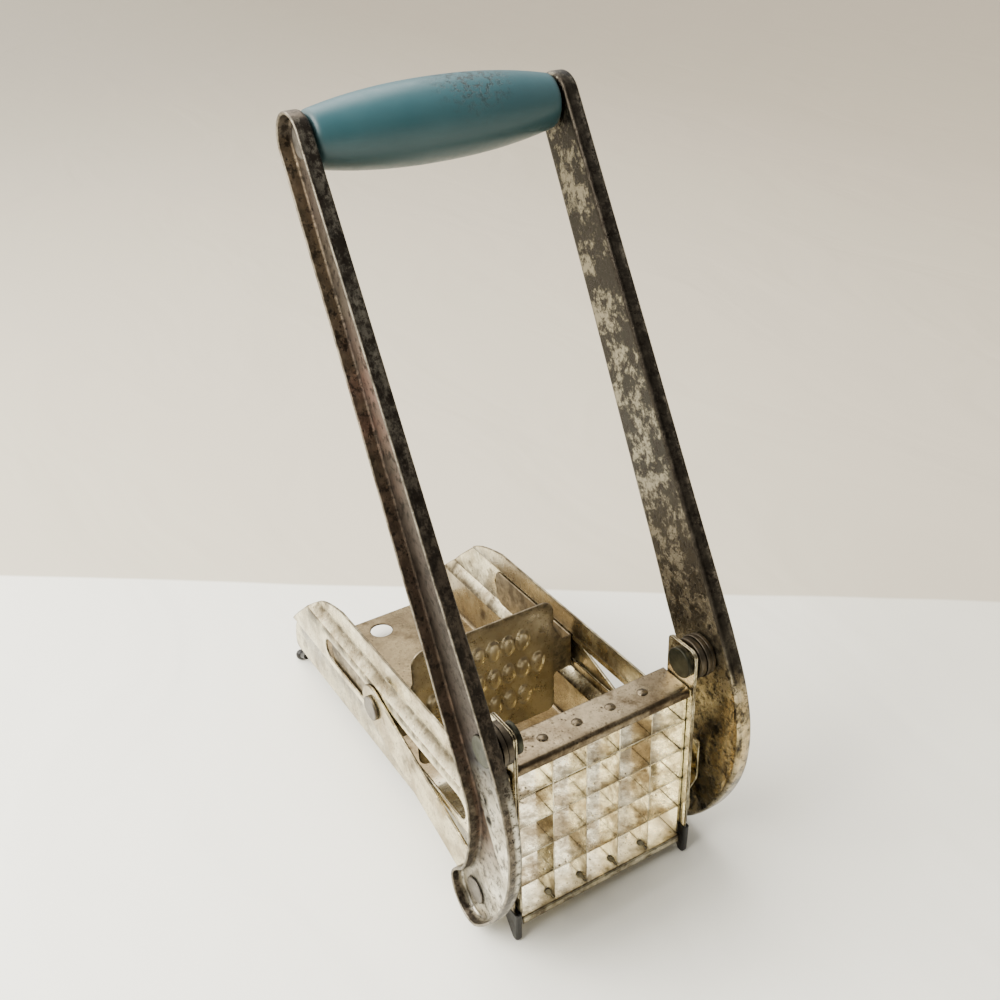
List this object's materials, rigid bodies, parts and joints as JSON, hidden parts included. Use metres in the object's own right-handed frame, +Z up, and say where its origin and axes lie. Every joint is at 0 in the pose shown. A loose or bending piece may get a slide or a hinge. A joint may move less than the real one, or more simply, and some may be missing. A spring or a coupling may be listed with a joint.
{
  "type": "potato chipper",
  "caption": "Hand-lever potato chipper: a sheet-metal trough whose pusher plate is drawn by links against a square blade grid, with a long forked lever and a barrel grip.",
  "frame": {"origin": "middle of the bounding box in X and Y, on the surface that the feet stand on", "axes": "+Z up, +Y towards the open rear end, so that the blade grid faces -Y, and X across the trough between the two lever arms"},
  "size_m": [0.0918, 0.1952, 0.2517],
  "materials": {
    "shell_tin": "bright tinplate, pitted and stained",
    "blade_tin": "polished tinplate, lightly stained",
    "link_tin": "tinplate, worn",
    "pusher_tin": "tarnished olive-brown tinplate",
    "arm_steel": "heavily tarnished plating, mottled",
    "rivet_steel": "dull grey steel",
    "foot_black": "worn black",
    "grip_paint": "light blue satin paint on turned wood, chipped"
  },
  "bodies": {
    "frame": {"body_shell": "shell_tin", "front_post_left": "shell_tin", "front_post_right": "shell_tin", "top_plate": "shell_tin", "grid_strip_left": "shell_tin", "grid_strip_right": "shell_tin", "blade_stud_1": "shell_tin", "blade_stud_2": "shell_tin", "blade_stud_3": "shell_tin", "blade_stud_4": "shell_tin", "blade_vertical_1": "blade_tin", "blade_vertical_2": "blade_tin", "blade_vertical_3": "blade_tin", "blade_vertical_4": "blade_tin", "blade_horizontal_1": "blade_tin", "blade_horizontal_2": "blade_tin", "blade_horizontal_3": "blade_tin", "blade_horizontal_4": "blade_tin", "foot_front_left": "foot_black", "foot_front_right": "foot_black", "foot_rear_left": "foot_black", "foot_rear_right": "foot_black", "lever_pivot_left": "rivet_steel", "lever_pivot_right": "rivet_steel", "pivot_washer_left_1": "rivet_steel", "pivot_washer_left_2": "rivet_steel", "pivot_washer_left_3": "rivet_steel", "pivot_washer_right_1": "rivet_steel", "pivot_washer_right_2": "rivet_steel", "pivot_washer_right_3": "rivet_steel"},
    "lever": {"lever_arm_left": "arm_steel", "lever_arm_right": "arm_steel", "grip": "grip_paint", "grip_rod": "rivet_steel", "link_rivet_front_left": "rivet_steel", "link_rivet_front_right": "rivet_steel"},
    "pusher": {"pusher_plate": "pusher_tin", "link_rivet_rear_left": "rivet_steel", "link_rivet_rear_right": "rivet_steel"},
    "link_left": {"link_left": "link_tin"},
    "link_right": {"link_right": "link_tin"}
  },
  "joints": [
    {"name": "lever_pivot", "type": "hinge", "parent": "frame", "child": "lever", "pos_m": [0, -0.07825, 0.0818], "axis": [-1, 0, 0], "range_deg": [-36, 55]},
    {"name": "pusher_slide", "type": "slide", "parent": "frame", "child": "pusher", "axis": [0, -1, 0], "range_m": [-0.0378, 0.0577]},
    {"name": "link_swing_left", "type": "hinge", "parent": "pusher", "child": "link_left", "pos_m": [-0.03995, 0.00385, 0.0397], "axis": [-1, 0, 0], "range_deg": [-2.5, 3.6]},
    {"name": "link_swing_right", "type": "hinge", "parent": "pusher", "child": "link_right", "pos_m": [0.03995, 0.00385, 0.0397], "axis": [-1, 0, 0], "range_deg": [-2.5, 3.6]}
  ],
  "couplings": [
    {"joint": "pusher_slide", "follows": "lever_pivot", "m_per_rad": 0.06},
    {"joint": "link_swing_left", "follows": "lever_pivot", "ratio": 0.06},
    {"joint": "link_swing_right", "follows": "lever_pivot", "ratio": 0.06}
  ]
}
